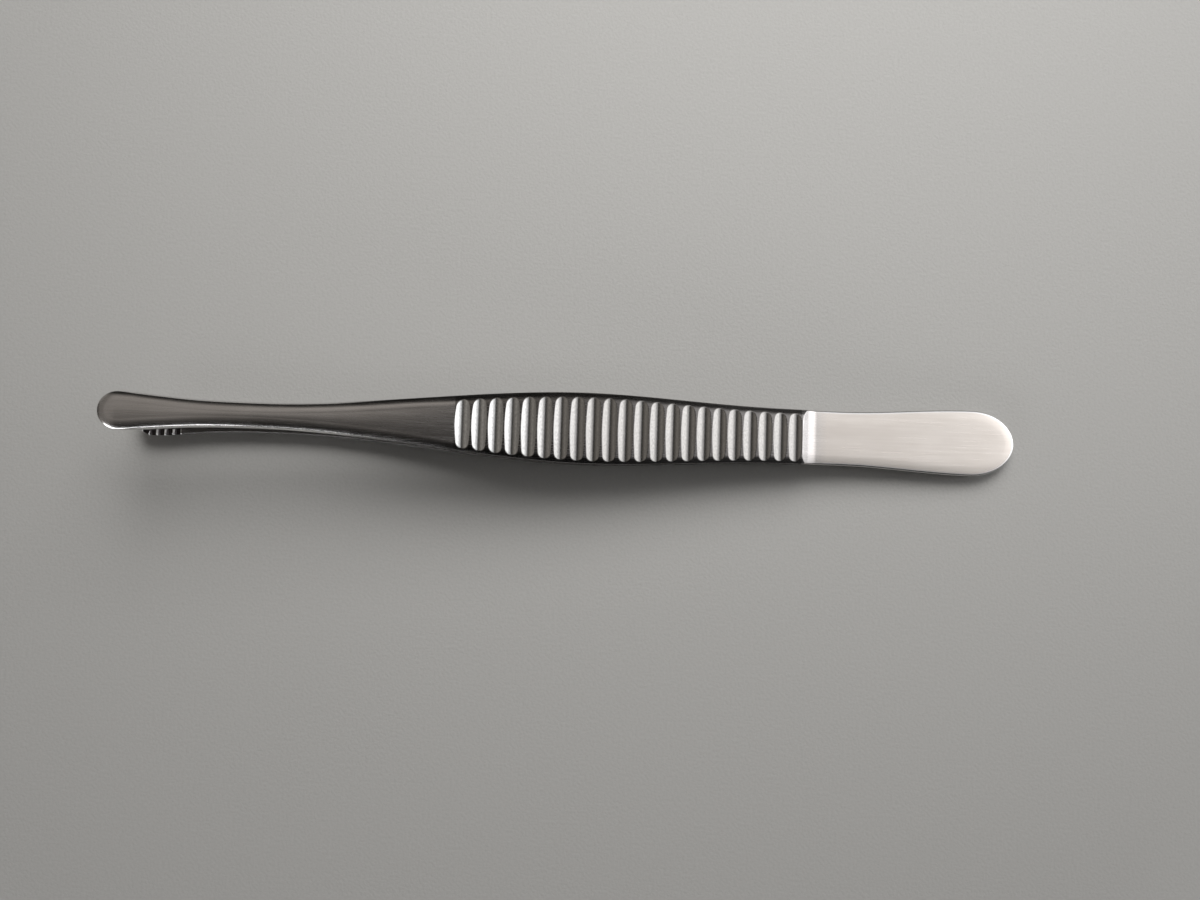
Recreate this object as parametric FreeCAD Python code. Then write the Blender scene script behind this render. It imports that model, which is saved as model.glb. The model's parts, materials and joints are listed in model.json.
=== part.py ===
import FreeCAD, Part
import math
import os

from FreeCAD import Vector

os.makedirs("parts", exist_ok=True)

# Driving dimensions, in millimetres and degrees.
# An arm is laid out on stations, which are distances from its tail end. Its inner face starts on z = 0,
# where the two arms meet, and its outer face, where the finger lies, looks up.
overall_length = 150.0

# The flat spring plate at the tail, seen from above and from the side
tail_half_width = 5.65
tail_round_length = 7.8
waist_half_width = 4.6
waist_start = 31.0
plate_thickness = 1.2
weld_length = 12.0
plate_edge_bevel = 0.25

# The spring bend, then the gentle bow that brings the two arms nearly parallel again
bend_end = 45.0
bend_slope = 3.7
tip_slope = 2.0

# The step from the plate up to the grip: a milled hollow that runs out into a steep wall
grip_start = 37.9
step_hollow_radius = 3.4
step_wall_angle = 34.0

# The grip and its cross grooves
belly_half_width = 5.8
belly_station = 73.5
grip_back_thickness = 2.4
grip_front_thickness = 2.9
groove_count = 22
groove_pitch = 2.624
groove_radius = 2.09
groove_depth = 0.38

# The neck and the round spoon tip
neck_half_width = 1.92
neck_station = 126.0
neck_thickness = 2.6
nose_radius = 3.0
spoon_thickness = 1.9

# The outer face is a little domed across, with a broad round down to each side wall. The inner edges are broken.
face_dome = 0.12
dome_flats = 2
crown_radius = 2.6
crown_edge_slope = 41.0
crown_flats = 4
inner_edge_break = 0.2

# The hollow of the spoon and the round notches that leave its teeth
cup_width = 4.0
cup_length = 7.2
cup_depth = 0.8
cup_rim = 1.0
tooth_pitch = 1.35
notch_radius = 0.55
notch_depth = 0.4
notches_each_side = 7

# Sizes worked out from the ones above
grip_end = grip_start + groove_count * groove_pitch
nose_centre = overall_length - nose_radius
bend_sine = math.sin(math.radians(bend_slope))
tip_sine = math.sin(math.radians(tip_slope))
step_wall = math.radians(step_wall_angle)
bend_radius = (bend_end - weld_length) / bend_sine
bow_radius = (overall_length - bend_end) / (bend_sine - tip_sine)

# The step's hollow starts at its foot, where the plate ends
hollow_rise = step_hollow_radius * (1 - math.cos(step_wall))
wall_run = (grip_back_thickness - plate_thickness - hollow_rise) / math.tan(step_wall)
step_foot = grip_start - step_hollow_radius * math.sin(step_wall) - wall_run

# Past every face of the part, for cutters that run right through it
beyond = 2 * belly_half_width + 2 * tail_half_width
# How far the handles of a curve reach for a quarter of an ellipse
QUARTER_HANDLE = 0.5523


def inner_slope(station):
    """Slope of the inner face at a station, in radians."""
    if station <= weld_length:
        return 0.0
    if station <= bend_end:
        return math.asin((station - weld_length) / bend_radius)
    return math.asin(bend_sine - (station - bend_end) / bow_radius)


def inner_height(station):
    """Height of the inner face above the plane where the arms meet."""
    if station <= weld_length:
        return 0.0
    if station <= bend_end:
        return bend_radius * (1 - math.cos(inner_slope(station)))
    bend_cosine = math.cos(math.radians(bend_slope))
    return bend_radius * (1 - bend_cosine) + bow_radius * (math.cos(inner_slope(station)) - bend_cosine)


def inner_point(station):
    """The point of the inner face at a station, with the tail towards +X."""
    return Vector(overall_length / 2 - station, 0, inner_height(station))


def square_to_inner(station):
    """Unit vector out of the arm's outer side, square to its inner face."""
    slope = inner_slope(station)
    return Vector(math.sin(slope), 0, math.cos(slope))


def above_inner(station, height):
    return inner_point(station) + square_to_inner(station) * height


def blend(station, start, end, first, last, lean=1.0):
    """Go smoothly from the first value to the last one. A lean over 1 keeps the change back."""
    share = min(1.0, max(0.0, (station - start) / (end - start))) ** lean
    return first + (last - first) * share * share * (3 - 2 * share)


def half_width(station):
    """Half of the arm's width seen from above: tail, waist, belly, neck and spoon."""
    if station <= waist_start:
        return blend(station, tail_round_length, waist_start, tail_half_width, waist_half_width)
    if station <= belly_station:
        waist_end = max(waist_start, grip_start)
        return blend(station, waist_end, belly_station, waist_half_width, belly_half_width, 1.15)
    if station <= neck_station:
        return blend(station, belly_station, neck_station, belly_half_width, neck_half_width)
    return blend(station, neck_station, nose_centre, neck_half_width, nose_radius, 1.7)


def thickness(station):
    """Thickness of the forged blank, before the plate is milled down."""
    if station <= grip_end:
        rise = (grip_front_thickness - grip_back_thickness) / (grip_end - grip_start)
        return grip_back_thickness + rise * (station - grip_start)
    if station <= neck_station:
        return blend(station, grip_end, neck_station, grip_front_thickness, neck_thickness)
    return blend(station, neck_station, nose_centre, neck_thickness, spoon_thickness)


def line(start, end):
    return Part.LineSegment(start, end).toShape()


def arc(start, middle, end):
    return Part.Arc(start, middle, end).toShape()


def closed_face(edges):
    return Part.Face(Part.Wire(Part.__sortEdges__(edges)))


def profile(start, end, height):
    """Edges that run a fixed height above the inner face: flat at the weld, then two tangent arcs."""
    stations = [start] + [at for at in sorted((weld_length, bend_end)) if start < at < end] + [end]
    edges = []
    for first, last in zip(stations, stations[1:]):
        ends = above_inner(first, height), above_inner(last, height)
        if last <= weld_length:
            edges.append(line(*ends))
        else:
            edges.append(arc(ends[0], above_inner((first + last) / 2, height), ends[1]))
    return edges


def side_prism(edges):
    """A profile drawn from the side, run right across the arm."""
    face = closed_face(edges)
    face.translate(Vector(0, -beyond, 0))
    return face.extrude(Vector(0, 2 * beyond, 0))


def quarter_round(start, corner, end):
    """A quarter of a circle or an ellipse, tangent to both sides of the corner that it rounds off."""
    curve = Part.BezierCurve()
    curve.setPoles([start, start + (corner - start) * QUARTER_HANDLE, end + (corner - end) * QUARTER_HANDLE, end])
    return curve.toShape()


def tangent_curve(start, end):
    """An S curve that leaves its start and reaches its end along the arm."""
    handle = Vector((end.x - start.x) / 3, 0, 0)
    curve = Part.BezierCurve()
    curve.setPoles([start, start + handle, end - handle, end])
    return curve.toShape()


def faces_toward(solid, direction):
    """The faces that look up, for a direction of 1, or down, for -1."""
    found = []
    for face in solid.Faces:
        first_u, last_u, first_v, last_v = face.ParameterRange
        normal = face.normalAt((first_u + last_u) / 2, (first_v + last_v) / 2)
        if normal.z * direction > 0.9:
            found.append(face)
    return found


def outline_of(faces):
    """The edges round a group of faces, without those that two of them share."""
    edges = [edge for face in faces for edge in face.Edges]
    return [edge for edge in edges if sum(edge.isSame(other) for other in edges) == 1]


def tail_outline(side):
    """Half of the tail's outline from above: out to its full width, in to the waist and past the plate."""
    tail_x = overall_length / 2
    end_x = tail_x - max(waist_start, step_foot) - tail_round_length
    wide = Vector(tail_x - tail_round_length, side * tail_half_width, 0)
    waist = Vector(tail_x - waist_start, side * waist_half_width, 0)
    return [
        quarter_round(Vector(tail_x, 0, 0), Vector(tail_x, wide.y, 0), wide),
        tangent_curve(wide, waist),
        line(waist, Vector(end_x, waist.y, 0)),
        line(Vector(end_x, waist.y, 0), Vector(end_x, 0, 0)),
    ]


def spring_plate():
    """The flat tail as far as the foot of the step, with its edges bevelled outside and broken inside."""
    outline = closed_face(tail_outline(1) + tail_outline(-1))
    outline.translate(Vector(0, 0, -beyond))
    tail = -tail_round_length
    side = profile(tail, step_foot, 0) + profile(tail, step_foot, plate_thickness)
    for station in (tail, step_foot):
        side.append(line(above_inner(station, 0), above_inner(station, plate_thickness)))
    body = outline.extrude(Vector(0, 0, 2 * beyond)).common(side_prism(side))
    foot_x = above_inner(step_foot, plate_thickness).x
    for direction, bevel in ((1, plate_edge_bevel), (-1, inner_edge_break)):
        edges = outline_of(faces_toward(body, direction))
        body = body.makeChamfer(bevel, [edge for edge in edges if edge.BoundBox.XMax > foot_x + bevel])
    return body


def crown_turn(width, wall_height):
    """The angle that the crown turns through: less where the arm is narrow or thin."""
    by_width = math.asin(min(1.0, 0.9 * width / crown_radius))
    by_height = math.acos(1 - min(1.0, wall_height / crown_radius))
    return min(math.radians(crown_edge_slope), by_width, by_height)


def half_section(station, side):
    """Inner face, broken edge, side wall, round crown and domed outer face, from the centre line and back."""
    height = thickness(station)
    width = half_width(station)
    shoulder = height - face_dome
    full_turn = crown_turn(width, shoulder - plate_thickness)
    face_width = width - crown_radius * math.sin(full_turn)

    def point(across, up):
        return above_inner(station, up) + Vector(0, side * across, 0)

    corners = [point(0, 0), point(width - inner_edge_break, 0), point(width, inner_edge_break)]
    for flat in range(crown_flats + 1):
        turn = full_turn * (1 - flat / crown_flats)
        across = face_width + crown_radius * math.sin(turn)
        corners.append(point(across, shoulder - crown_radius * (1 - math.cos(turn))))
    for flat in range(1, dome_flats + 1):
        share = 1 - flat / dome_flats
        corners.append(point(face_width * share, height - face_dome * share**2))
    return [line(start, end) for start, end in zip(corners, corners[1:])]


def section(station):
    left = half_section(station, 1)
    right = half_section(station, -1)
    return Part.Wire(left + right[::-1])


def spread(start, end, count):
    """Stations evenly spread from the start up to, but not including, the end."""
    return [start + (end - start) * index / count for index in range(count)]


def forging():
    """The grip, neck and spoon: sections joined from the foot of the step to the middle of the nose."""
    stations = [step_foot]
    stations += spread(grip_start, grip_end, groove_count // 2)
    stations += spread(grip_end, neck_station, 6)
    stations += spread(neck_station, nose_centre, 5)
    stations += [nose_centre]
    return Part.makeLoft([section(station) for station in stations], True, True)


def nose():
    """The round end of the spoon: its section turned half way about the middle of the nose."""
    edges = half_section(nose_centre, 1)
    edges.append(line(above_inner(nose_centre, thickness(nose_centre)), inner_point(nose_centre)))
    return closed_face(edges).revolve(inner_point(nose_centre), square_to_inner(nose_centre), 180)


def step_cutter():
    """What is milled off the end of the grip: down to the plate, with a hollow and a steep wall."""
    centre = above_inner(step_foot, plate_thickness + step_hollow_radius)

    def on_hollow(angle):
        return centre - Vector(math.sin(angle), 0, math.cos(angle)) * step_hollow_radius

    wall_foot = on_hollow(step_wall)
    wall_head = wall_foot + Vector(-math.cos(step_wall), 0, math.sin(step_wall)) * beyond
    tail_foot = above_inner(-tail_round_length, plate_thickness)
    tail_head = Vector(tail_foot.x, 0, wall_head.z)
    hollow_middle = on_hollow((inner_slope(step_foot) + step_wall) / 2)
    edges = profile(-tail_round_length, step_foot, plate_thickness)
    edges.append(arc(above_inner(step_foot, plate_thickness), hollow_middle, wall_foot))
    edges += [line(wall_foot, wall_head), line(wall_head, tail_head), line(tail_head, tail_foot)]
    return side_prism(edges)


def groove_cutters():
    """A round cutter laid across the grip for each groove."""
    cutters = []
    for index in range(groove_count):
        station = grip_start + (index + 0.5) * groove_pitch
        centre = above_inner(station, thickness(station) + groove_radius - groove_depth)
        start = centre - Vector(0, beyond, 0)
        cutters.append(Part.makeCylinder(groove_radius, 2 * beyond, start, Vector(0, 1, 0)))
    return cutters


def lay_on_inner_face(shape, station):
    """Take a shape made about the origin to the inner face at a station."""
    shape.rotate(Vector(0, 0, 0), Vector(0, 1, 0), math.degrees(inner_slope(station)))
    shape.translate(inner_point(station))
    return shape


def cup_cutter():
    """The hollow of the spoon, as a ball cutter leaves it."""
    radius = (cup_width**2 / 4 + cup_depth**2) / (2 * cup_depth)
    travel = Vector(cup_length - cup_width, 0, 0)
    start = Vector(0, 0, cup_depth - radius)
    cutter = Part.makeSphere(radius, start)
    cutter = cutter.fuse([Part.makeCylinder(radius, travel.x, start, travel), Part.makeSphere(radius, start + travel)])
    return lay_on_inner_face(cutter, overall_length - cup_rim - cup_width / 2)


def notch_cutters(phase):
    """Round notches square to the rim of the spoon, from the nose back along both of its sides."""
    quarter_turn = nose_radius * math.pi / 2
    inner_end = nose_radius - cup_rim - notch_depth
    drop = notch_radius - notch_depth
    cutters = []
    for index in range(notches_each_side):
        distance = (index + phase) * tooth_pitch
        for side in (1, -1) if distance > 0 else (1,):
            angle = side * min(distance, quarter_turn) / nose_radius
            outward = Vector(-math.cos(angle), math.sin(angle), 0)
            start = outward * inner_end + Vector(max(0, distance - quarter_turn), 0, -drop)
            cutter = Part.makeCylinder(notch_radius, 2 * nose_radius, start, outward)
            cutters.append(lay_on_inner_face(cutter, nose_centre))
    return cutters


def arm(tooth_phase):
    """One arm, outer face up: forged, milled at the step, grooved, hollowed and toothed."""
    body = forging().cut(step_cutter())
    body = body.fuse([nose(), spring_plate()])
    body = body.cut(groove_cutters())
    body = body.cut([cup_cutter()] + notch_cutters(tooth_phase))
    return body.Solids[0]


def rest_tilt():
    """How far the nose tips up when the pair lies on its tail end and its highest land, in degrees."""
    heel = above_inner(plate_edge_bevel, plate_thickness)
    slopes = []
    for index in range(groove_count + 1):
        station = grip_start + index * groove_pitch
        land = above_inner(station, thickness(station))
        slopes.append(math.atan2(land.z - heel.z, heel.x - land.x))
    return math.degrees(max(slopes))


# The two arms face each other, and the teeth of one fall in the notches of the other
upper_arm = arm(0)
lower_arm = arm(0.5).mirror(Vector(0, 0, 0), Vector(0, 0, 1))
arms = {"upper_arm": upper_arm, "lower_arm": lower_arm}

# The pair lies on the outer face of its lower arm, and its origin is under the middle of its box
for shape in arms.values():
    shape.rotate(Vector(0, 0, 0), Vector(0, 1, 0), rest_tilt())
boxes = [shape.optimalBoundingBox(False, False) for shape in arms.values()]
middle = (min(box.XMin for box in boxes) + max(box.XMax for box in boxes)) / 2
floor = min(box.ZMin for box in boxes)
for name, shape in arms.items():
    shape.translate(Vector(-middle, 0, -floor))
    shape.exportStep("parts/" + name + ".step")
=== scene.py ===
import json
import math

import bmesh
import bpy
import numpy as np
from mathutils import Matrix, Vector


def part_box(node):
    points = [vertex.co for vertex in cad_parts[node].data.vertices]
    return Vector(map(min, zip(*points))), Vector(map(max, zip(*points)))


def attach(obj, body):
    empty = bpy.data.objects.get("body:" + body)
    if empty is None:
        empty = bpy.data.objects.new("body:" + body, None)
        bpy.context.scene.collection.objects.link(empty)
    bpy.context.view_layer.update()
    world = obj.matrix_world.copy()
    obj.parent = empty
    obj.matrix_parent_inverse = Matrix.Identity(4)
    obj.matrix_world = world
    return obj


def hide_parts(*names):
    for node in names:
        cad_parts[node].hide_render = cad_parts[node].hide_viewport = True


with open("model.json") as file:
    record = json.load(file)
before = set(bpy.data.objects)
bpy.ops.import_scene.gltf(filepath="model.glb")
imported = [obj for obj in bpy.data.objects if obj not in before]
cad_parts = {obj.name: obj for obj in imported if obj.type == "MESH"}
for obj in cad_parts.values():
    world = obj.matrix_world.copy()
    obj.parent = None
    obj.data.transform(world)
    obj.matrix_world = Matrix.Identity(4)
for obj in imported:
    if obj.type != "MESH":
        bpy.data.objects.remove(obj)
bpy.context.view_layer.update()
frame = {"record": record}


# The upper arm is one forging of stainless steel: a thin spring plate, a step up to the grooved grip, a
# slender neck and a round spoon tip. The plate is brushed and the rest is ground. The flat inner face of
# the tail is welded to the lower arm. Sizes are in millimetres, except for the floor and the lamp.
MILLIMETRE = 0.001
overall_length = 150.0
tail_half_width = 5.65
tail_round_length = 7.8
waist_half_width = 4.6
waist_start = 31.0
plate_thickness = 1.2
weld_length = 12.0
bend_end = 45.0
bend_sine = math.sin(math.radians(3.7))
tip_sine = math.sin(math.radians(2.0))
bend_radius = (bend_end - weld_length) / bend_sine
bow_radius = (overall_length - bend_end) / (bend_sine - tip_sine)


def inner_slope(station):
    """Slope of the inner face, from the tail end on: flat, then the spring bend, then a gentle bow."""
    bend = np.clip(station - weld_length, 0, bend_end - weld_length) / bend_radius
    bow = np.maximum(station - bend_end, 0) / bow_radius
    return np.arcsin(bend - bow)


def inner_height(station):
    """Height of the inner face above the plane where the two arms meet."""
    bend_cosine = math.sqrt(1 - bend_sine**2)
    in_bend = bend_radius * (1 - np.cos(inner_slope(station)))
    in_bow = bend_radius * (1 - bend_cosine) + bow_radius * (np.cos(inner_slope(station)) - bend_cosine)
    return np.where(station <= bend_end, in_bend, in_bow)


def blend(station, start, end, first, last, lean=1.0):
    """Go smoothly from the first value to the last one. A lean over 1 keeps the change back."""
    share = np.clip((station - start) / (end - start), 0, 1) ** lean
    return first + (last - first) * share * share * (3 - 2 * share)


grip_start = 37.9
groove_count = 22
groove_pitch = 2.624
grip_end = grip_start + groove_count * groove_pitch
belly_half_width = 5.8
belly_station = 73.5
belly_lean = 1.15
spoon_lean = 1.7
neck_half_width = 2.04
neck_station = 126.0
nose_radius = 3.0
nose_centre = overall_length - nose_radius


def half_width(station):
    """Half of the width seen from above, from the tail's round end to the middle of the nose."""
    tail = blend(station, tail_round_length, waist_start, tail_half_width, waist_half_width)
    grip = blend(station, grip_start, belly_station, waist_half_width, belly_half_width, belly_lean)
    neck = blend(station, belly_station, neck_station, belly_half_width, neck_half_width)
    spoon = blend(station, neck_station, nose_centre, neck_half_width, nose_radius, spoon_lean)
    reaches = [station <= waist_start, station <= belly_station, station <= neck_station]
    return np.select(reaches, [tail, grip, neck], spoon)


grip_back_thickness = 2.4
grip_front_thickness = 2.9
neck_thickness = 2.6
spoon_thickness = 1.9


def thickness(station):
    """Thickness of the forged blank: a slow taper along the grip, then thinner to the spoon."""
    taper = (grip_front_thickness - grip_back_thickness) / (grip_end - grip_start)
    grip = grip_back_thickness + taper * (station - grip_start)
    neck = blend(station, grip_end, neck_station, grip_front_thickness, neck_thickness)
    spoon = blend(station, neck_station, nose_centre, neck_thickness, spoon_thickness)
    return np.select([station <= grip_end, station <= neck_station], [grip, neck], spoon)


def soft_min(first, second, softness):
    """The lower of two heights, with the edge between them worn round."""
    share = np.clip(0.5 + 0.5 * (second - first) / softness, 0, 1)
    return second + (first - second) * share - softness * share * (1 - share)


# The outer face of the arm: forged dome and round edges, the step milled down to the plate, and the cross
# grooves cut by a round cutter, which runs out through the rounded edge and leaves each groove a round end.
face_dome = 0.12
full_dome_half_width = 2.0
crown_radius = 2.6
crown_edge_slope = math.radians(41.0)
crown_share_of_width = 0.9
hand_ground_unevenness = 0.22
even_crown_run = 3 * groove_pitch
grip_edge_round = 0.06
neck_edge_round = 0.36
nose_edge_round = 0.12
neck_edge_start = 104.0
neck_edge_full = 116.0
plate_edge_round = 0.25
plate_roll_width = 2.2
plate_roll_drop = 0.16
groove_radius = 2.09
groove_depth = 0.38
groove_reach = 0.999 * groove_radius
worn_edge = 0.022
# Painted shade: over this many grooves from the neck, the grooves' colour darkens towards the step.
shade_ramp_groove_count = 9
step_hollow_radius = 3.4
step_wall = math.radians(34.0)
hollow_rise = step_hollow_radius * (1 - math.cos(step_wall))
wall_run = (grip_back_thickness - plate_thickness - hollow_rise) / math.tan(step_wall)
step_foot = grip_start - step_hollow_radius * math.sin(step_wall) - wall_run


def forged_height(station, inward, width, side):
    """The forging before it is milled. Inward is the distance from the outline, seen from above. Side runs
    from -1 to 1, because the crown is ground by hand and comes out a little broader on one side."""
    shoulder = thickness(station) - face_dome
    in_grip = blend(station, grip_end, grip_end + even_crown_run, 1, 0)
    radius = crown_radius * (1 + hand_ground_unevenness * side * in_grip)
    by_width = np.arcsin(np.minimum(1, crown_share_of_width * width / radius))
    by_height = np.arccos(1 - np.minimum(1, (shoulder - plate_thickness) / radius))
    crown_width = radius * np.sin(np.minimum(np.minimum(crown_edge_slope, by_width), by_height))
    reach = np.maximum(crown_width - inward, 0)
    rounded = shoulder - radius + np.sqrt(radius**2 - reach**2)
    across = np.clip((width - inward) / (width - crown_width), 0, 1)
    dome = face_dome * np.clip((width - crown_width) / full_dome_half_width, 0, 1)
    edge_round = blend(station, neck_edge_start, neck_edge_full, grip_edge_round, neck_edge_round)
    edge_round = blend(station, nose_centre - nose_radius, nose_centre, edge_round, nose_edge_round)
    left = np.clip(1 - inward / edge_round, 0, 1)
    edge_drop = edge_round * (1 - np.sqrt(1 - left * left))
    return rounded + dome * (1 - across**2) - edge_drop


def step_height(station, inward):
    """The milled plate, the hollow at its end and the steep wall up to the grip, with a rounded rim."""
    lean = step_wall - float(inner_slope(np.array(step_foot)))
    run = np.maximum(station - step_foot, 0)
    turn_run = step_hollow_radius * math.sin(lean)
    turn_rise = step_hollow_radius * (1 - math.cos(lean))
    hollow = step_hollow_radius - np.sqrt(step_hollow_radius**2 - np.minimum(run, turn_run) ** 2)
    wall = turn_rise + (run - turn_run) * math.tan(lean)
    milled = plate_thickness + np.where(run < turn_run, hollow, wall)
    left = np.clip(1 - inward / plate_edge_round, 0, 1)
    rolled = plate_roll_drop * np.clip(1 - inward / plate_roll_width, 0, 1) ** 2
    return milled - rolled - plate_edge_round * (1 - np.sqrt(1 - left * left))


def groove_height(station):
    """The floor of the cross grooves, and far above the arm where there are none."""
    index = np.clip(np.floor((station - grip_start) / groove_pitch), 0, groove_count - 1)
    middle = grip_start + (index + 0.5) * groove_pitch
    reach = np.minimum(np.abs(station - middle), groove_reach)
    return thickness(middle) + groove_radius - groove_depth - np.sqrt(groove_radius**2 - reach**2)


# The inner side of the spoon: a shallow hollow milled with a ball cutter, and a rim cut into round-bottomed
# notches, which leave narrow teeth. The teeth of one arm face the notches of the other.
cup_half_width = 2.0
cup_length = 7.2
cup_depth = 0.8
cup_rim = 1.0
tooth_pitch = 1.35
notch_radius = 0.55
notch_depth = 0.4
notches_each_side = 7
worn_tooth = 0.05


def spoon_hollow(station, across):
    """Height of the ball-milled hollow above the inner face, and below it outside the hollow."""
    radius = (cup_half_width**2 + cup_depth**2) / (2 * cup_depth)
    front = overall_length - cup_rim - cup_half_width
    back = front - (cup_length - 2 * cup_half_width)
    along = station - np.clip(station, back, front)
    return cup_depth - radius + np.sqrt(np.maximum(radius**2 - along**2 - across**2, 0))


def notch_floor(station, across, phase):
    """Height of the notches above the inner face, and below it between them."""
    quarter_turn = nose_radius * math.pi / 2
    floor = np.full(np.shape(station), -notch_radius)
    turn = np.arctan2(np.abs(across), station - nose_centre)
    reach = np.hypot(across, np.maximum(station - nose_centre, 0))
    for index in range(notches_each_side):
        distance = (index + phase) * tooth_pitch
        if distance <= quarter_turn:
            off = reach * np.sin(np.clip(turn - distance / nose_radius, -math.pi / 2, math.pi / 2))
            off = np.where(station < nose_centre, np.hypot(off, nose_centre - station), off)
        else:
            off = station - (nose_centre + quarter_turn - distance)
        cut = notch_depth - notch_radius + np.sqrt(np.maximum(notch_radius**2 - off**2, 0))
        floor = np.maximum(floor, np.where(np.abs(off) < notch_radius, cut, -notch_radius))
    return np.where(reach > nose_radius - cup_rim - notch_depth, floor, -notch_radius)


def inner_surface(station, across, phase):
    """The inner face with its hollow and its notches, as a height above the plain face."""
    hollow = spoon_hollow(station, across)
    notches = notch_floor(station, across, phase)
    return -soft_min(-np.maximum(hollow, 0), -notches, worn_tooth)


# The arm's mesh is laid out as columns round the outline. Each is one half section: from the middle of the
# inner face out to the edge, up the side wall and over the rounded edge to the middle of the outer face.
inner_edge_break = 0.2
plate_columns = 30
step_columns = 38
columns_in_groove = 25
neck_columns = 66
tooth_columns = 60
nose_columns = 126
tail_columns = 66
round_edge_rows = 8
crown_rows = 18
inner_edge_rows = 3
tooth_rows = 9
middle_rows = 5
wall_rows = 2


def column_stations():
    """Where the half sections stand: far apart on plate and neck, close on step, grooves and teeth."""
    plate = np.linspace(tail_round_length, step_foot, plate_columns)[:-1]
    step = np.linspace(step_foot, grip_start, step_columns)[:-1]
    half_groove = math.sqrt(groove_radius**2 - (groove_radius - groove_depth) ** 2)
    in_groove = half_groove * np.sin(np.linspace(-math.pi / 2, math.pi / 2, columns_in_groove))
    middles = grip_start + (np.arange(groove_count) + 0.5) * groove_pitch
    grooves = (middles[:, None] + in_groove[None, :]).ravel()
    lands = grip_start + np.arange(groove_count + 1) * groove_pitch
    quarter_turn = nose_radius * math.pi / 2
    teeth_start = nose_centre - (notches_each_side * tooth_pitch - quarter_turn) - notch_radius
    neck = np.linspace(grip_end + groove_depth, teeth_start, neck_columns)
    teeth = np.linspace(teeth_start, nose_centre, tooth_columns)[1:]
    return np.concatenate([plate, step, np.sort(np.concatenate([grooves, lands])), neck, teeth])


def outline_columns():
    """For each column, the spine station that it runs to and the outline point that it starts from."""
    body = column_stations()
    width = half_width(body)
    nose_turn = np.linspace(math.pi / 2, -math.pi / 2, nose_columns)[1:-1]
    tail_turn = np.linspace(-math.pi / 2, math.pi / 2, tail_columns)[1:-1]
    spine = np.concatenate([
        body,
        np.full(nose_turn.shape, nose_centre),
        body[::-1],
        np.full(tail_turn.shape, tail_round_length),
    ])
    station = np.concatenate([
        body,
        nose_centre + nose_radius * np.cos(nose_turn),
        body[::-1],
        tail_round_length * (1 - np.cos(tail_turn)),
    ])
    across = np.concatenate([
        width,
        nose_radius * np.sin(nose_turn),
        -width[::-1],
        tail_half_width * np.sin(tail_turn),
    ])
    return spine, station, across


def rows_inward(width, edge_rows, band, band_rows):
    """Distances in from the outline: close together at the edge, even over a band, then to the middle."""
    band_end = np.minimum(band, crown_share_of_width * width)[:, None]
    edge = np.broadcast_to(edge_rows, (len(width), len(edge_rows)))
    band_share = np.linspace(0, 1, band_rows + 1)[None, 1:]
    middle_share = np.linspace(0, 1, middle_rows + 1)[None, 1:]
    across_band = edge[:, -1:] + (band_end - edge[:, -1:]) * band_share
    to_middle = band_end + (width[:, None] - band_end) * middle_share
    return np.concatenate([edge, across_band, to_middle], axis=1)


finish_and_painted_light_masks = ("groove", "plate", "rim", "notch", "tooth", "shaded_grooves_mask", "land", "painted_shade")


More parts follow.
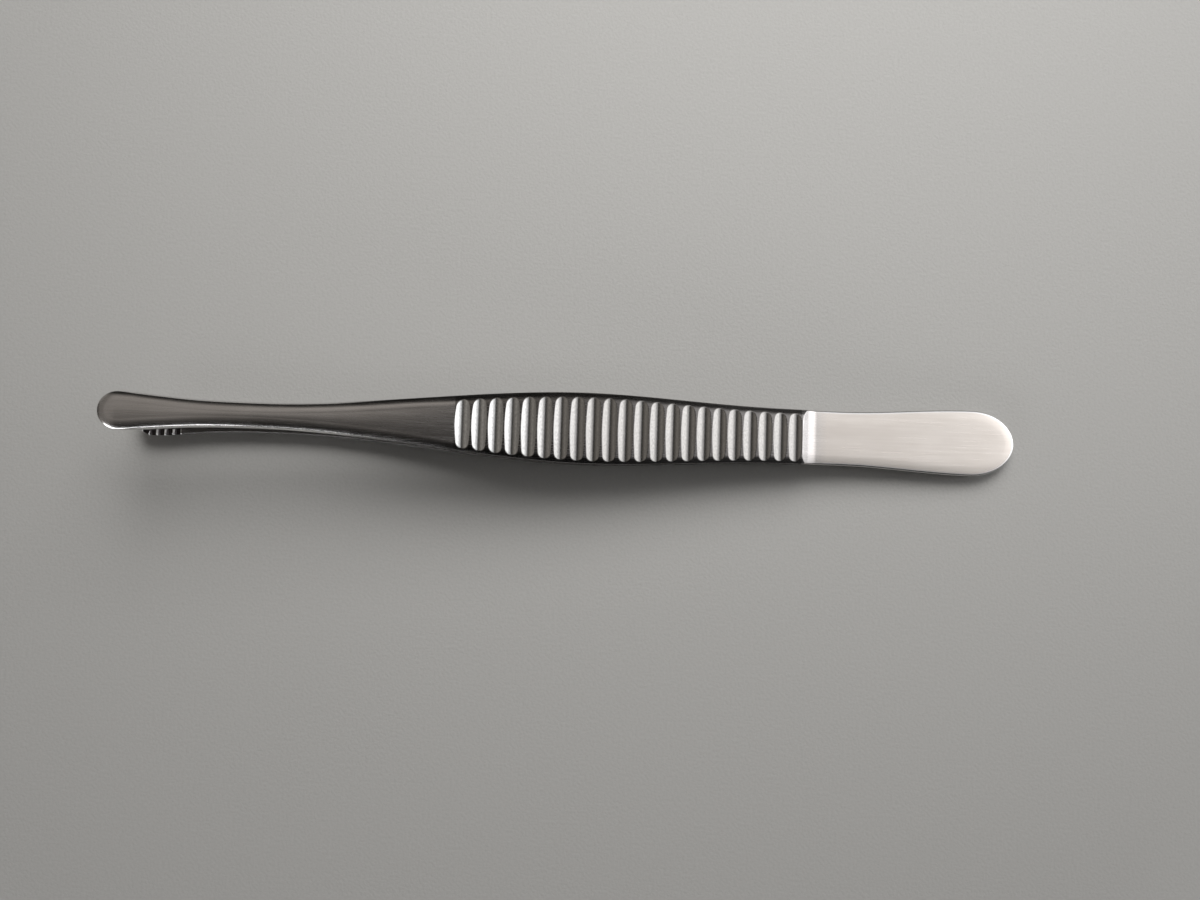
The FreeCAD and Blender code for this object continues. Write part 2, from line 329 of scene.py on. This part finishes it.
def arm_surface(phase):
    """Stations, across distances, heights, and masks of the finishes and of the painted shade and
    highlight, for every point, as columns by rows.
    """
    spine, edge_station, edge_across = outline_columns()
    reach = np.hypot(edge_station - spine, edge_across)

    def places(inward):
        share = inward / reach[:, None]
        station = edge_station[:, None] + (spine - edge_station)[:, None] * share
        return station, edge_across[:, None] * (1 - share)

    # Painted shade on the side walls and edge rounds, from the grip to the neck.
    def shade_from_grip_to_neck(station):
        return blend(station, neck_edge_full, neck_edge_start, 0, 1) * (station > grip_start)

    outer_edge = plate_edge_round * (1 - np.cos(np.linspace(0, math.pi / 2, round_edge_rows)))
    outer = rows_inward(reach, outer_edge, crown_radius * math.sin(crown_edge_slope), crown_rows)
    station, across = places(outer)
    side = np.clip(across / waist_half_width, -1, 1)
    forged = forged_height(station, outer, reach[:, None], side)
    milled = soft_min(forged, step_height(station, outer), worn_edge)
    grooved = soft_min(milled, groove_height(station), worn_edge)
    in_grip = (station > grip_start - groove_pitch / 2) & (station < grip_end + groove_pitch / 2)
    outer_height = np.where(in_grip, grooved, milled)
    groove_mask = np.where(in_grip, np.clip((milled - outer_height) / worn_edge, 0, 1), 0)
    # Painted shade: the lands and the crown of the grip are darkened.
    land_mask = np.where((station > grip_start) & (station < grip_end), 1.0, 0.0)
    plate_mask = np.clip((step_foot + step_hollow_radius / 2 - station) / step_hollow_radius, 0, 1)
    rim_mask = np.clip(2 - outer / plate_edge_round, 0, 1)
    polished = np.maximum(plate_mask, blend(station, neck_edge_start, neck_edge_full, 0, 1))

    inner_edge = inner_edge_break * np.linspace(0, 1, inner_edge_rows)
    inner = rows_inward(reach, inner_edge, cup_rim + notch_depth, tooth_rows)
    inner_station, inner_across = places(inner)
    inner_height_here = inner_surface(inner_station, inner_across, phase)
    inner_height_here = np.maximum(inner_height_here, np.clip(inner_edge_break - inner, 0, None))
    notch_mask = np.clip(notch_floor(inner_station, inner_across, phase) / worn_tooth, 0, 1)
    teeth_end = nose_centre - notches_each_side * tooth_pitch + nose_radius * math.pi / 2
    toothed = (inner < cup_rim) & (inner_station > teeth_end)
    tooth_mask = np.where(toothed, 1 - notch_mask, 0)
    # Painted shade on the grooves, growing from the neck end of the grip towards the step.
    shade_ramp_end = grip_end - shade_ramp_groove_count * groove_pitch
    shaded_grooves_mask = blend(station, grip_end, shade_ramp_end, 0, 1) * (station > grip_start)

    wall_share = np.arange(1, wall_rows + 1) / (wall_rows + 1)
    low = inner_height_here[:, :1]
    high = outer_height[:, :1]
    wall_height = low + (high - low) * wall_share
    wall_station = np.broadcast_to(edge_station[:, None], wall_height.shape)
    wall_across = np.broadcast_to(edge_across[:, None], wall_height.shape)
    shaded_wall = shade_from_grip_to_neck(wall_station)
    shaded_edge = shade_from_grip_to_neck(station) * rim_mask

    def half_section(inside, on_wall, outside):
        return np.concatenate([inside[:, ::-1], on_wall, outside], axis=1)

    none_inside = np.zeros(inner.shape)
    none_on_wall = np.zeros(wall_height.shape)
    none_outside = np.zeros(outer.shape)
    return {
        "station": half_section(inner_station, wall_station, station),
        "across": half_section(inner_across, wall_across, across),
        "height": half_section(inner_height_here, wall_height, outer_height),
        "groove": half_section(none_inside, none_on_wall, groove_mask),
        "plate": half_section(none_inside, none_on_wall, plate_mask),
        "rim": half_section(none_inside, none_on_wall, rim_mask * polished),
        "notch": half_section(notch_mask, none_on_wall, none_outside),
        "tooth": half_section(tooth_mask, none_on_wall, none_outside),
        "shaded_grooves_mask": half_section(none_inside, none_on_wall, shaded_grooves_mask),
        "land": half_section(none_inside, none_on_wall, land_mask),
        # Painted shade on every inner face, which faces the other arm, and on the grip's side walls and
        # edges.
        "painted_shade": half_section(none_inside + 1, shaded_wall, shaded_edge),
    }


face_axis = Vector(frame["record"]["mounts"][0]["axis"])
rest_tilt = math.atan2(face_axis.x, face_axis.z)
same_point = 0.001
sharp_edge = math.radians(38)


def build_arm(name, node, phase, side):
    """One arm, laid in the place of its node. Side is 1 for the upper arm and -1 for the lower one."""
    surface = arm_surface(phase)
    station = surface["station"]
    slope = inner_slope(station)
    x = overall_length / 2 - station + np.sin(slope) * surface["height"]
    z = side * (inner_height(station) + np.cos(slope) * surface["height"])
    tilted_x = x * math.cos(rest_tilt) + z * math.sin(rest_tilt)
    tilted_z = z * math.cos(rest_tilt) - x * math.sin(rest_tilt)
    points = np.stack([tilted_x, surface["across"], tilted_z], axis=2).reshape(-1, 3) * MILLIMETRE
    low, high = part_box(node)
    points[:, 0] += high.x - points[:, 0].max()
    points[:, 2] += low.z - points[:, 2].min()

    columns, rows = station.shape
    first = np.arange(columns)[:, None] * rows + np.arange(rows - 1)[None, :]
    following = (np.arange(columns)[:, None] + 1) % columns * rows + np.arange(rows - 1)[None, :]
    faces = np.stack([first, first + 1, following + 1, following], axis=2).reshape(-1, 4)
    mesh = bpy.data.meshes.new(name)
    mesh.from_pydata(points.tolist(), [], faces.tolist())
    for mask in finish_and_painted_light_masks:
        attribute = mesh.attributes.new(mask, "FLOAT", "POINT")
        attribute.data.foreach_set("value", surface[mask].astype(np.float32).ravel())
    shape = bmesh.new()
    shape.from_mesh(mesh)
    bmesh.ops.remove_doubles(shape, verts=shape.verts, dist=same_point * MILLIMETRE)
    bmesh.ops.recalc_face_normals(shape, faces=shape.faces)
    for face in shape.faces:
        face.smooth = True
    shape.to_mesh(mesh)
    shape.free()
    mesh.set_sharp_from_angle(angle=sharp_edge)
    arm = bpy.data.objects.new(name, mesh)
    bpy.context.scene.collection.objects.link(arm)
    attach(arm, "root")
    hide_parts(node)
    return arm


def stretched_noise(tree, detail, along, across):
    """Noise in the object's own coordinates. Along and across say how many cells there are to a metre."""
    place = tree.nodes.new("ShaderNodeTexCoord")
    stretch = tree.nodes.new("ShaderNodeMapping")
    stretch.inputs["Scale"].default_value = (along, across, along)
    noise = tree.nodes.new("ShaderNodeTexNoise")
    noise.inputs["Scale"].default_value = 1.0
    noise.inputs["Detail"].default_value = detail
    tree.links.new(place.outputs["Object"], stretch.inputs["Vector"])
    tree.links.new(stretch.outputs["Vector"], noise.inputs["Vector"])
    return noise.outputs["Fac"]


noise_low = 0.3
noise_high = 0.7


def remap(tree, value, low, high):
    """Noise keeps to a middle range of values: spread that range over the wanted one."""
    node = tree.nodes.new("ShaderNodeMapRange")
    node.inputs["From Min"].default_value = noise_low
    node.inputs["From Max"].default_value = noise_high
    node.inputs["To Min"].default_value = low
    node.inputs["To Max"].default_value = high
    tree.links.new(value, node.inputs["Value"])
    return node.outputs["Result"]


def mix_values(tree, factor, first, second):
    node = tree.nodes.new("ShaderNodeMix")
    node.data_type = "FLOAT"
    for socket, value in (("Factor", factor), ("A", first), ("B", second)):
        if isinstance(value, float):
            node.inputs[socket].default_value = value
        else:
            tree.links.new(value, node.inputs[socket])
    return node.outputs["Result"]


def mix_colours(tree, factor, first, second):
    node = tree.nodes.new("ShaderNodeMix")
    node.data_type = "RGBA"
    tree.links.new(factor, node.inputs["Factor"])
    for name, value in (("A", first), ("B", second)):
        socket = [item for item in node.inputs if item.name == name and item.type == "RGBA"][0]
        if isinstance(value, tuple):
            socket.default_value = (*value, 1.0)
        else:
            tree.links.new(value, socket)
    return [item for item in node.outputs if item.type == "RGBA"][0]


def mask_of(tree, name):
    node = tree.nodes.new("ShaderNodeAttribute")
    node.attribute_name = name
    return node.outputs["Fac"]


ground_steel = ((0.48, 0.46, 0.45), (0.58, 0.56, 0.555))
brushed_steel = ((0.64, 0.585, 0.535), (0.73, 0.675, 0.625))
# Painted shade: the dark grey of the lands and the grip's crown.
land_shade_paint = (0.22, 0.208, 0.2)
frosted_steel = (0.66, 0.655, 0.645)
# Painted shade: the darker grey of the grooves towards the step.
groove_shade_paint = (0.4, 0.386, 0.37)
frost_speck = (0.2, 0.195, 0.19)
frost_speck_share = 0.32
cloud_share = 0.5
rim_steel = (0.74, 0.73, 0.72)
# Painted shade: the dark grey of the inner faces and of the grip's side walls and edges.
dark_shade_paint = (0.22, 0.212, 0.208)
notch_shadow = (0.05, 0.045, 0.045)
# Painted highlight: the teeth's crests are made nearly white. They are also rougher.
tooth_highlight_paint = (0.9, 0.89, 0.88)
rim_roughness = 0.18
tooth_roughness = 0.6
grain_strength = 0.35
grain_height = 0.006


def forceps_steel():
    """Steel ground on the body, brushed on the plate, frosted in the grooves and polished on the rims.
    Painted shade darkens the lands, the notches, the inner faces, the grip's sides and the grooves towards
    the step, and a painted highlight whitens the teeth.
    """
    steel = bpy.data.materials.new("forceps_steel")
    steel.use_nodes = True
    tree = steel.node_tree
    shader = tree.nodes["Principled BSDF"]
    shader.inputs["Metallic"].default_value = 1.0

    brushing = stretched_noise(tree, detail=3.0, along=180.0, across=7000.0)
    streaks = stretched_noise(tree, detail=4.0, along=60.0, across=2200.0)
    cloud = stretched_noise(tree, detail=2.0, along=140.0, across=260.0)
    frost = stretched_noise(tree, detail=3.0, along=5200.0, across=2600.0)
    groove = mask_of(tree, "groove")
    plate = mask_of(tree, "plate")
    rim = mask_of(tree, "rim")
    notch = mask_of(tree, "notch")
    tooth = mask_of(tree, "tooth")

    streaked = remap(tree, streaks, low=0.0, high=1.0)
    clouded = remap(tree, cloud, low=0.0, high=1.0)
    tone = mix_values(tree, cloud_share, streaked, clouded)
    ground = mix_colours(tree, tone, *ground_steel)
    brushed = mix_colours(tree, tone, *brushed_steel)
    # The lands and the grip's crown are painted darker, as shade.
    ground = mix_colours(tree, mask_of(tree, "land"), ground, land_shade_paint)
    # The grooves are painted darker towards the step, as shade.
    frosted = mix_colours(tree, mask_of(tree, "shaded_grooves_mask"), frosted_steel, groove_shade_paint)
    specks = remap(tree, frost, low=0.0, high=frost_speck_share)
    frosted = mix_colours(tree, specks, frosted, frost_speck)
    colour = mix_colours(tree, plate, ground, brushed)
    colour = mix_colours(tree, groove, colour, frosted)
    colour = mix_colours(tree, rim, colour, rim_steel)
    # Painted shade on the inner faces and on the grip's sides.
    colour = mix_colours(tree, mask_of(tree, "painted_shade"), colour, dark_shade_paint)
    colour = mix_colours(tree, notch, colour, notch_shadow)
    # The tooth crests are painted nearly white, as a highlight.
    colour = mix_colours(tree, tooth, colour, tooth_highlight_paint)
    tree.links.new(colour, shader.inputs["Base Color"])

    satin = remap(tree, brushing, low=0.2, high=0.3)
    plate_satin = remap(tree, brushing, low=0.27, high=0.37)
    frosted_satin = remap(tree, frost, low=0.17, high=0.25)
    rough = mix_values(tree, plate, satin, plate_satin)
    rough = mix_values(tree, groove, rough, frosted_satin)
    rough = mix_values(tree, rim, rough, rim_roughness)
    rough = mix_values(tree, tooth, rough, tooth_roughness)
    tree.links.new(rough, shader.inputs["Roughness"])

    grain = mix_values(tree, groove, brushing, frost)
    bump = tree.nodes.new("ShaderNodeBump")
    bump.inputs["Strength"].default_value = grain_strength
    bump.inputs["Distance"].default_value = grain_height * MILLIMETRE
    tree.links.new(grain, bump.inputs["Height"])
    tree.links.new(bump.outputs["Normal"], shader.inputs["Normal"])
    return steel


arm_finish = forceps_steel()
upper_arm = build_arm("upper_forging", "upper_arm", phase=0.0, side=1)
upper_arm.data.materials.append(arm_finish)


# The lower arm is the second forging, the same as the first one turned over. Its teeth are cut half a pitch
# further along, so that they fall in the notches of the upper arm. The two are welded at the tail.
lower_arm = build_arm("lower_forging", "lower_arm", phase=0.5, side=-1)
lower_arm.data.materials.append(arm_finish)


# The floor is a plain pale grey table top that the forceps lie on. It isn't part of the object. Far out,
# where the lamp doesn't reach, the camera sees it in one plain pale tone. Its sizes are in metres.
floor_reach = 1.5
far_table_start = 0.12
far_table_full = 0.3
table_greys = ((0.4, 0.392, 0.375), (0.46, 0.452, 0.435))
far_table_grey = (0.47, 0.465, 0.45)
table_roughness = 0.6
pebbles_to_metre = 2000.0
pebble_strength = 0.5
pebble_height = 0.12 * MILLIMETRE
floor_mesh = bpy.data.meshes.new("table_top")
floor_mesh.from_pydata(
    [(-floor_reach, -floor_reach, 0), (floor_reach, -floor_reach, 0), (floor_reach, floor_reach, 0),
     (-floor_reach, floor_reach, 0)],
    [],
    [(0, 1, 2, 3)],
)
floor = bpy.data.objects.new("table_top", floor_mesh)
bpy.context.scene.collection.objects.link(floor)


def table_paint():
    """Pale grey with a faint pebbled grain, and plain and evenly pale far from the forceps."""
    paint = bpy.data.materials.new("table_paint")
    paint.use_nodes = True
    tree = paint.node_tree
    shader = tree.nodes["Principled BSDF"]
    shader.inputs["Roughness"].default_value = table_roughness
    pebble = stretched_noise(tree, detail=3.0, along=pebbles_to_metre, across=pebbles_to_metre)
    colour = mix_colours(tree, pebble, *table_greys)
    tree.links.new(colour, shader.inputs["Base Color"])
    bump = tree.nodes.new("ShaderNodeBump")
    bump.inputs["Strength"].default_value = pebble_strength
    bump.inputs["Distance"].default_value = pebble_height
    tree.links.new(pebble, bump.inputs["Height"])
    tree.links.new(bump.outputs["Normal"], shader.inputs["Normal"])

    place = tree.nodes.new("ShaderNodeTexCoord")
    distance = tree.nodes.new("ShaderNodeVectorMath")
    distance.operation = "LENGTH"
    tree.links.new(place.outputs["Object"], distance.inputs["Vector"])
    far = tree.nodes.new("ShaderNodeMapRange")
    far.inputs["From Min"].default_value = far_table_start
    far.inputs["From Max"].default_value = far_table_full
    tree.links.new(distance.outputs["Value"], far.inputs["Value"])
    seen = tree.nodes.new("ShaderNodeLightPath")
    share = tree.nodes.new("ShaderNodeMath")
    share.operation = "MULTIPLY"
    tree.links.new(far.outputs["Result"], share.inputs[0])
    tree.links.new(seen.outputs["Is Camera Ray"], share.inputs[1])
    pale = tree.nodes.new("ShaderNodeEmission")
    pale.inputs["Color"].default_value = (*far_table_grey, 1.0)
    both = tree.nodes.new("ShaderNodeMixShader")
    tree.links.new(share.outputs["Value"], both.inputs["Fac"])
    tree.links.new(shader.outputs["BSDF"], both.inputs[1])
    tree.links.new(pale.outputs["Emission"], both.inputs[2])
    tree.links.new(both.outputs["Shader"], tree.nodes["Material Output"].inputs["Surface"])
    return paint


floor_mesh.materials.append(table_paint())


# The light is that of a room with a broad bright window on the tail's side, dim overhead and dark in
# front. The steel mirrors this room, and the table gets a share of its light. A soft lamp behind the
# forceps and weak daylight, neither of them mirrored, let the shadow fall towards the front.
room = bpy.data.worlds.new("room")
bpy.context.scene.world = room
room.use_nodes = True
sky = room.node_tree
backdrop = sky.nodes["Background"]
direction = sky.nodes.new("ShaderNodeSeparateXYZ")
sky_place = sky.nodes.new("ShaderNodeTexCoord")
sky.links.new(sky_place.outputs["Generated"], direction.inputs["Vector"])


def ramp(value, start, end, first, last):
    """A smooth change of brightness between two places on the sphere of directions, -1 to 1 each way."""
    node = sky.nodes.new("ShaderNodeMapRange")
    node.interpolation_type = "SMOOTHSTEP"
    node.inputs["From Min"].default_value = start
    node.inputs["From Max"].default_value = end
    node.inputs["To Min"].default_value = first
    node.inputs["To Max"].default_value = last
    sky.links.new(value, node.inputs["Value"])
    return node.outputs["Result"]


def combine(operation, first, *others):
    """Add, subtract or multiply brightnesses, one after another."""
    for other in others:
        node = sky.nodes.new("ShaderNodeMath")
        node.operation = operation
        sky.links.new(first, node.inputs[0])
        if isinstance(other, float):
            node.inputs[1].default_value = other
        else:
            sky.links.new(other, node.inputs[1])
        first = node.outputs["Value"]
    return first


def glow(strength, colour):
    node = sky.nodes.new("ShaderNodeBackground")
    node.inputs["Color"].default_value = (*colour, 1.0)
    sky.links.new(strength, node.inputs["Strength"])
    return node.outputs["Background"]


along_x = direction.outputs["X"]
along_y = direction.outputs["Y"]
along_z = direction.outputs["Z"]
back_dark = ramp(along_y, start=0.6, end=0.8, first=1.0, last=0.05)
shade_lean = 1.5
slant = combine("SUBTRACT", along_y, combine("MULTIPLY", along_x, shade_lean))
ceiling = ramp(slant, start=-0.05, end=0.75, first=0.075, last=0.5)
neck_shade = ramp(along_x, start=-0.12, end=-0.25, first=1.0, last=0.76)
front_black = ramp(slant, start=0.02, end=-0.45, first=1.0, last=0.08)
left_wall = ramp(along_x, start=-0.35, end=-0.65, first=1.0, last=0.6)
left_foot = ramp(along_x, start=-0.9, end=-0.99, first=1.0, last=0.2)
window = ramp(along_x, start=0.24, end=0.35, first=0.0, last=1.06)
far_window = ramp(along_x, start=0.45, end=0.7, first=0.0, last=1.3)
window_foot = ramp(along_y, start=-0.36, end=0.12, first=0.05, last=1.0)
front_side = ramp(along_y, start=-0.45, end=-0.65, first=0.0, last=1.0)
front_left = ramp(along_x, start=-0.24, end=-0.34, first=0.0, last=1.0)
front_top = ramp(along_z, start=0.46, end=0.36, first=0.0, last=6.0)
front_foot = ramp(along_z, start=0.14, end=0.24, first=0.0, last=1.0)
front_reach = combine("MULTIPLY", front_side, front_left)
front_band = combine("MULTIPLY", front_top, front_foot)
front_glow = combine("MULTIPLY", front_reach, front_band)
warm = combine("MULTIPLY", ceiling, neck_shade, front_black, back_dark, left_wall, left_foot)
cool = combine("MULTIPLY", combine("ADD", window, far_window), window_foot, back_dark)
warm_white = (1.0, 0.94, 0.87)
cool_white = (0.98, 0.985, 1.0)
backdrop_grey = (0.75, 0.74, 0.72)
seen = sky.nodes.new("ShaderNodeLightPath")
full_light = 1.0
share_on_table = 0.45
level = sky.nodes.new("ShaderNodeMapRange")
level.inputs["To Min"].default_value = share_on_table
level.inputs["To Max"].default_value = full_light
sky.links.new(seen.outputs["Is Glossy Ray"], level.inputs["Value"])
dimmed = level.outputs["Result"]
cool = combine("MULTIPLY", combine("ADD", cool, front_glow), dimmed)
both = sky.nodes.new("ShaderNodeAddShader")
sky.links.new(glow(combine("MULTIPLY", warm, dimmed), warm_white), both.inputs[0])
sky.links.new(glow(cool, cool_white), both.inputs[1])
backdrop.inputs["Color"].default_value = (*backdrop_grey, 1.0)
choose = sky.nodes.new("ShaderNodeMixShader")
sky.links.new(seen.outputs["Is Camera Ray"], choose.inputs["Fac"])
sky.links.new(both.outputs["Shader"], choose.inputs[1])
sky.links.new(backdrop.outputs["Background"], choose.inputs[2])
sky.links.new(choose.outputs["Shader"], sky.nodes["World Output"].inputs["Surface"])

lamp_side = 0.21
lamp_power = 0.74
daylight_strength = 0.5
daylight_spread = math.radians(25)
lamp_place = (0.04, 0.19, 0.215)
lamp_data = bpy.data.lights.new("window_lamp", "AREA")
lamp_data.shape = "RECTANGLE"
lamp_data.size = lamp_side
lamp_data.size_y = lamp_side
lamp_data.energy = lamp_power
lamp = bpy.data.objects.new("window_lamp", lamp_data)
lamp.location = lamp_place
lamp.rotation_euler = (-lamp.location).to_track_quat("-Z", "Y").to_euler()
lamp.visible_glossy = False
lamp.visible_camera = False
bpy.context.scene.collection.objects.link(lamp)
daylight_data = bpy.data.lights.new("daylight", "SUN")
daylight_data.energy = daylight_strength
daylight_data.angle = daylight_spread
daylight = bpy.data.objects.new("daylight", daylight_data)
daylight.rotation_euler = lamp.rotation_euler
daylight.visible_glossy = False
bpy.context.scene.collection.objects.link(daylight)


# The camera looks down on the middle of the forceps from 16 centimetres above the table, and two or three
# degrees off straight down, as in the photograph.
camera_data = bpy.data.cameras.new("camera")
camera_data.sensor_width = 36.0
camera_data.lens = 27.03
camera_data.clip_start = 0.005
camera = bpy.data.objects.new("camera", camera_data)
camera_place = Vector((1.556, -10.62, 156.75)) * MILLIMETRE
lean_back = math.radians(2.781)
lean_aside = math.radians(-0.752)
roll = math.radians(1.746)
camera.matrix_world = (
    Matrix.Translation(camera_place)
    @ Matrix.Rotation(lean_aside, 4, "Y")
    @ Matrix.Rotation(lean_back, 4, "X")
    @ Matrix.Rotation(roll, 4, "Z")
)
bpy.context.scene.collection.objects.link(camera)
bpy.context.scene.camera = camera
bpy.context.scene.view_settings.view_transform = "Standard"
